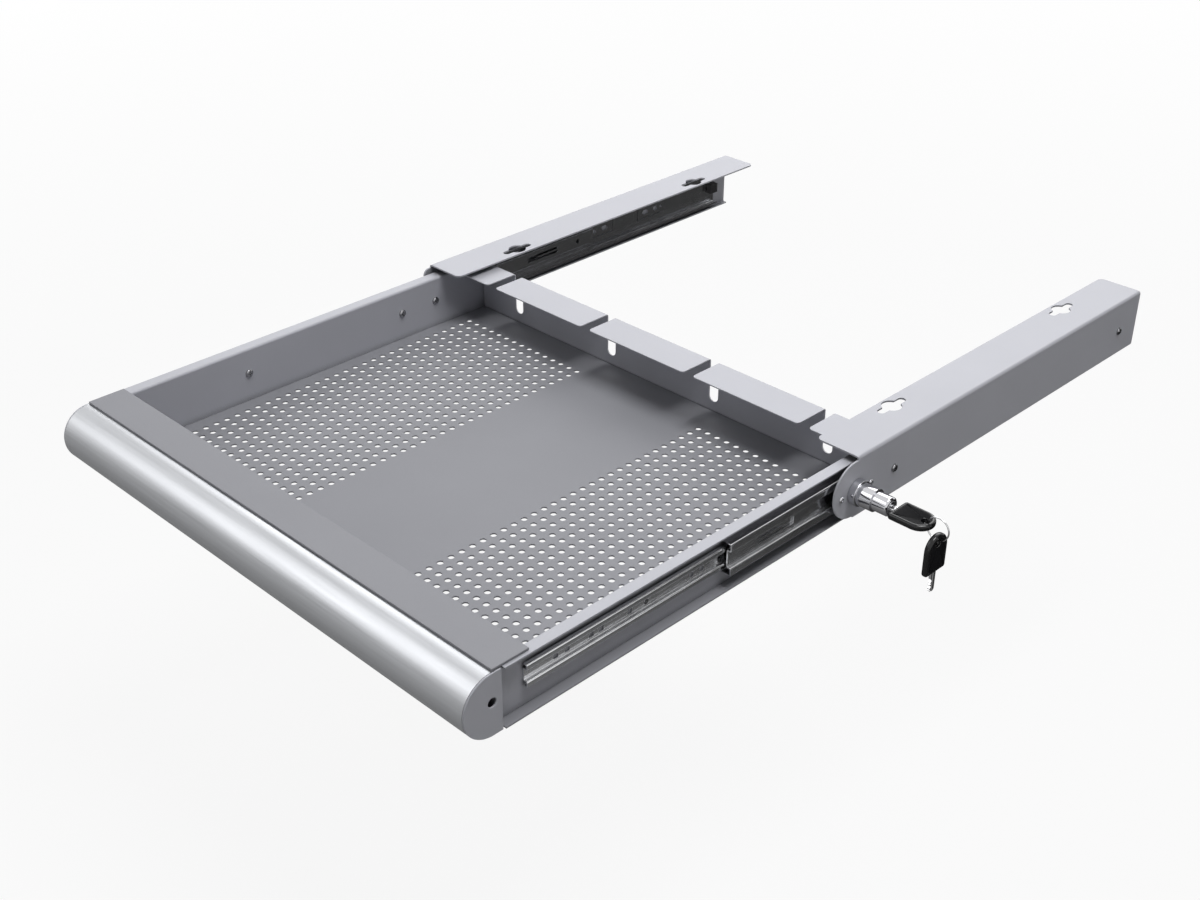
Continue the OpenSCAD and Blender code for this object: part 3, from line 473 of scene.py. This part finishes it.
# Painted shade: the walls and brackets are darkened over a longer reach, which paints the dark band of
# shade under the flanges and the soft shade round the slides.
WALL_COAT_FLANGE_SHADE = powder_coat("grey powder coat of the walls", TRAY_GREY, 0.56, FLANGE_SHADE_REACH, FLANGE_SHADE_OPEN)
OWN_FINISH = {
    "side_wall_left": WALL_COAT_FLANGE_SHADE,
    "side_wall_right": WALL_COAT_FLANGE_SHADE,
    "bracket_left": WALL_COAT_FLANGE_SHADE,
    "bracket_right": WALL_COAT_FLANGE_SHADE,
    "drawer_floor": PERFORATED_DARKENED_AS_SHADE,
    "cover_strip": FINISHES["cover_steel"],
    "end_cap_left": FINISHES["tray_steel"],
    "end_cap_right": FINISHES["tray_steel"],
}
SLOT_OF = {part["node"]: part["material_slot"] for part in frame["record"]["subparts"]}


def finish_of(node_name):
    return OWN_FINISH.get(node_name, FINISHES[SLOT_OF[node_name]])


for node_name, node in NODES.items():
    dress(node, finish_of(node_name))


# Pieces

BODIES = frame["record"]["behaviour"]["bodies"]
BODY_OF = {node_name: body_name for body_name, members in BODIES.items() for node_name in members}


def piece_for(node_name, mesh, material):
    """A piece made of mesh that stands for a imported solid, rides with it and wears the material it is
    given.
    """
    piece = link(bpy.data.objects.new(mesh.name, mesh))
    dress(piece, material)
    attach(piece, BODY_OF[node_name])
    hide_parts(node_name)
    return piece


MERGE_DISTANCE = 2e-6
FLAT_DEGREES = 0.5
EDGE_DEGREES = 34
EDGE_STEPS = 2
EDGE_RADIUS = {
    "cover_strip": 0.3, "front_wall": 0.25, "rear_wall": 0.25, "side_wall_left": 0.25,
    "side_wall_right": 0.25, "end_cap_left": 0.55, "end_cap_right": 0.55, "bracket_left": 0.25,
    "bracket_right": 0.25,
    "inner_slide_left": 0.2, "inner_slide_right": 0.2, "middle_slide_left": 0.2, "middle_slide_right": 0.2,
    "outer_slide_left": 0.2, "outer_slide_right": 0.2, "lock_collar": 0.5, "lock_housing": 0.45,
    "lock_plunger": 0.35, "lock_plug": 0.2, "rear_bumper_left": 0.5, "rear_bumper_right": 0.5,
    "lock_screws": 0.2, "bracket_screws": 0.2, "slide_screws": 0.2, "handle_screws": 0.2,
}


def make_formed(node_name, radius):
    """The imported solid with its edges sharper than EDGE_DEGREES rounded to radius, in mm."""
    mesh = bpy.data.meshes.new(node_name + "_formed")
    bm = bmesh.new()
    bm.from_mesh(NODES[node_name].data)
    bmesh.ops.remove_doubles(bm, verts=bm.verts, dist=MERGE_DISTANCE)
    bmesh.ops.dissolve_limit(bm, angle_limit=math.radians(FLAT_DEGREES), verts=bm.verts, edges=bm.edges)
    bm.to_mesh(mesh)
    bm.free()
    shade_smooth(mesh)
    piece = piece_for(node_name, mesh, finish_of(node_name))
    bevel = piece.modifiers.new("rounded edges", "BEVEL")
    bevel.width = radius * MM
    bevel.segments = EDGE_STEPS
    bevel.limit_method = "ANGLE"
    bevel.angle_limit = math.radians(EDGE_DEGREES)
    bevel.use_clamp_overlap = True
    weighted = piece.modifiers.new("flat faces stay flat", "WEIGHTED_NORMAL")
    weighted.mode = "FACE_AREA"
    weighted.weight = 100
    weighted.keep_sharp = False


# Keys, in mm, lying flat with the square end of the head at 0 and the round end towards +X

HEAD_L = 31.5
HEAD_W = 23.5
HEAD_T = 5.0
HEAD_CORNER = 2.5
ARC_STEPS = 20
SIDE_STEPS = 12
FIELD_DEPTH = 0.45
RIM_ROUND = 1.9
RIM_TURNS = range(0, 91, 15)
HOLE_INSET = 7.0
HOLE_R = 3.0
BLADE_W = 5.8
BLADE_T = 2.0
BLADE_STEPS = 160
GROOVE = 0.5
TANG = 9.0
CUT_DEPTHS = (0.9, 1.7, 1.2, 2.0)
CUT_SHARE = 0.919
CUT_PITCH = 2.6
CUT_START = 2.2
TIP_BEVEL = 1.7
SHARP_DEGREES = 30


def head_outline():
    """The head's outline as rows of centre, radius and angle: a half circle, two corners and three sides. A
    point inset by d is its centre plus (radius - d) along its angle."""
    r = HEAD_W / 2
    c = HEAD_CORNER
    stops = [(HEAD_L - r, 0, r, -90), (HEAD_L - r, 0, r, 90), (c, r - c, c, 90), (c, r - c, c, 180),
             (c, c - r, c, 180), (c, c - r, c, 270), (HEAD_L - r, 0, r, 270)]
    corner_steps = ARC_STEPS // 2
    counts = (2 * ARC_STEPS, SIDE_STEPS, corner_steps, SIDE_STEPS, corner_steps, SIDE_STEPS)
    parts = [np.linspace(a, b, n, endpoint=False) for a, b, n in zip(stops[:-1], stops[1:], counts)]
    return np.concatenate(parts)


def rim_rows():
    """The raised rim as rows of (distance inside the outline, height): up from the sunk field, over a
    quarter circle of radius RIM_ROUND, and the same back underneath."""
    half = HEAD_T / 2
    field = half - FIELD_DEPTH
    rows = [(3.0, field), (2.85, field + 0.06), (2.55, half - 0.08), (2.35, half)]
    for turn in np.radians(RIM_TURNS):
        rows.append((RIM_ROUND * (1 - math.sin(turn)), half - RIM_ROUND * (1 - math.cos(turn))))
    return np.array(rows + [(d, -z) for d, z in rows[::-1]])


def hole_rows():
    """The hole's wall as rows of (radius, height), from the lower field to the upper one."""
    field = HEAD_T / 2 - FIELD_DEPTH
    rows = [(HOLE_R + 0.35, -field), (HOLE_R + 0.1, 0.3 - field), (HOLE_R, 0.7 - field)]
    return np.array(rows + [(r, -z) for r, z in rows[::-1]])


def head_mesh(name):
    """A key head, closed round both ways: the rim's rows, each the outline inset by its distance, and then
    the hole's rows, each a circle round the hole's centre."""
    outline = head_outline()
    rim = rim_rows()
    hole = hole_rows()
    angle = np.radians(outline[:, 3])
    along = np.stack([np.cos(angle), np.sin(angle)], 1)
    flat = outline[None, :, :2] + (outline[None, :, 2:3] - rim[:, None, :1]) * along[None]
    centre = np.array([HEAD_L - HOLE_INSET, 0])
    to_edge = flat[0] - centre
    to_edge /= np.linalg.norm(to_edge, axis=1)[:, None]
    flat = np.concatenate([flat, centre + hole[:, None, :1] * to_edge[None]])
    heights = np.concatenate([rim[:, 1], hole[:, 1]])
    z = np.broadcast_to(heights[:, None, None], flat.shape[:2] + (1,))
    return solid_of(name, np.concatenate([flat, z], 2), round_rows=True, round_columns=True)


def grain_panels(head):
    """Gives the two sunk faces of a key head their grain: the ring of faces after the last row of the rim,
    and the ring that closes the grid."""
    rings = np.arange(len(head.data.polygons)) // len(head_outline())
    panel = (rings == len(rim_rows()) - 1) | (rings == rings.max())
    head.data.materials.append(KEY_PANEL)
    head.data.polygons.foreach_set("material_index", panel.astype(np.int32))


def blade_mesh(name, blade_l):
    """A key blade: a section with a milled groove on each face, carried along X, its lower edge cut by
    45-degree notches and both edges bevelled at the tip. Along x the section is clipped to low and high. A
    notch reaches CUT_SHARE of its depth."""
    w = BLADE_W / 2
    t = BLADE_T / 2
    g = t - GROOVE
    under = [(-w, -t + 0.2), (-w + 0.2, -t), (-1.6, -t), (-1.3, -g), (-0.2, -g), (0.1, -t), (w - 0.2, -t)]
    upper = [(w, -t + 0.2), (w, t - 0.2), (w - 0.2, t), (1.7, t), (1.4, g), (0.3, g), (0, t), (-w + 0.2, t)]
    section = np.array(under + upper + [(-w, t - 0.2)])
    x = np.linspace(-blade_l, TANG, BLADE_STEPS)
    from_tip = x + blade_l
    notches = []
    for i, depth in enumerate(CUT_DEPTHS):
        notches.append(CUT_SHARE * depth - abs(from_tip - CUT_START - i * CUT_PITCH))
    tip = np.maximum(0, TIP_BEVEL - from_tip)
    low = -w + np.maximum(tip, np.max(notches, 0))
    y = np.clip(section[None, :, 0], low[:, None], (w - tip)[:, None])
    z = np.broadcast_to(section[None, :, 1], y.shape)
    points = np.stack([np.broadcast_to(x[:, None], y.shape), y, z], 2)
    return solid_of(name, points, round_columns=True, caps=(0, len(x) - 1))


def place_key(mesh, corner, hangs):
    """Moves a key mesh so that its 0 is at corner, lying flat or hanging with its blade down."""
    points = np.empty(len(mesh.vertices) * 3)
    mesh.vertices.foreach_get("co", points)
    points = points.reshape(-1, 3)
    if hangs:
        points = np.stack([-points[:, 2], points[:, 1], points[:, 0]], 1)
    mesh.vertices.foreach_set("co", (points + corner).ravel())
    mesh.update()


def middle_and_size(node_name):
    """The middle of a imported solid's box and its three lengths."""
    low, high = [np.array(corner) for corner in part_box(node_name)]
    return (low + high) / 2, high - low


def make_keys():
    """The key in the lock lies along X. The spare one hangs, with its blade along -Z."""
    for prefix, hangs in (("", False), ("spare_", True)):
        axis = 2 if hangs else 0
        zero, size = middle_and_size(prefix + "key_head")
        zero[axis] -= size[axis] / 2
        blade_l = (zero - np.array(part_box(prefix + "key_blade")[0]))[axis] / MM
        head = head_mesh(prefix + "key_head_moulded")
        place_key(head, zero, hangs)
        grain_panels(piece_for(prefix + "key_head", head, FINISHES["key_plastic"]))
        blade = blade_mesh(prefix + "key_blade_cut", blade_l)
        place_key(blade, zero, hangs)
        piece_for(prefix + "key_blade", blade, FINISHES["key_steel"])
        blade.set_sharp_from_angle(angle=math.radians(SHARP_DEGREES))


# Ring and spring

RING_STEPS = 120
RING_WIRE_STEPS = 16
SPRING_TURNS = 6
SPRING_STEPS = 40
SPRING_WIRE = 0.8
SPRING_WIRE_STEPS = 12


def full_turn(steps):
    return np.linspace(0, 2 * np.pi, steps, endpoint=False)


def make_ring():
    """The key ring: a circle of wire carried round a circle in the plane of X and Z."""
    middle, size = middle_and_size("key_ring")
    wire = size[1] / 2
    radius = size[0] / 2 - wire
    a = full_turn(RING_STEPS)[:, None]
    b = full_turn(RING_WIRE_STEPS)[None, :]
    out = radius + wire * np.cos(b)
    points = np.stack([out * np.cos(a), wire * np.sin(b) + 0 * a, out * np.sin(a)], 2)
    mesh = solid_of("key_ring_wire", (points + middle) / MM, round_rows=True, round_columns=True)
    piece_for("key_ring", mesh, FINISHES["key_steel"])


def make_spring():
    """The lock spring: a circle of wire carried along a helix about X."""
    middle, size = middle_and_size("lock_spring")
    wire = SPRING_WIRE * MM / 2
    radius = size[2] / 2 - wire
    share = np.linspace(0, 1, SPRING_STEPS * SPRING_TURNS)[:, None]
    turn = 2 * np.pi * SPRING_TURNS * share
    b = full_turn(SPRING_WIRE_STEPS)[None, :]
    out = radius + wire * np.cos(b)
    x = middle[0] + (size[0] - 2 * wire) * (share - 0.5) + wire * np.sin(b)
    points = np.stack([x, middle[1] + out * np.cos(turn), middle[2] + out * np.sin(turn)], 2)
    mesh = solid_of("lock_spring_coil", points / MM, round_columns=True, caps=(0, len(share) - 1))
    piece = piece_for("lock_spring", mesh, FINISHES["spring_steel"])
    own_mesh(piece)


for formed_name, edge_radius in EDGE_RADIUS.items():
    make_formed(formed_name, edge_radius)
make_keys()
make_ring()
make_spring()

make_camera()
make_world()
make_floor()
make_dark_cards()
area_lamp("back softbox", place=(-1.4, 1.5, 1.35), aim=(0, 0, -0.05), width=2.9, height=1.9, watts=39)
area_lamp("overhead", place=(0.75, -0.1, 2.3), aim=(0, 0, -0.05), width=1.2, height=1.2, watts=44)
area_lamp("front left", place=(-1.35, -1.65, 1.35), aim=(0, -0.5, -0.03), width=1.1, height=1.5, watts=7)
area_lamp("low front", place=(0.2, -2.3, 0.02), aim=(0, -0.5, -0.03), width=2.2, height=0.5, watts=3)
bpy.context.scene.view_settings.view_transform = "Standard"
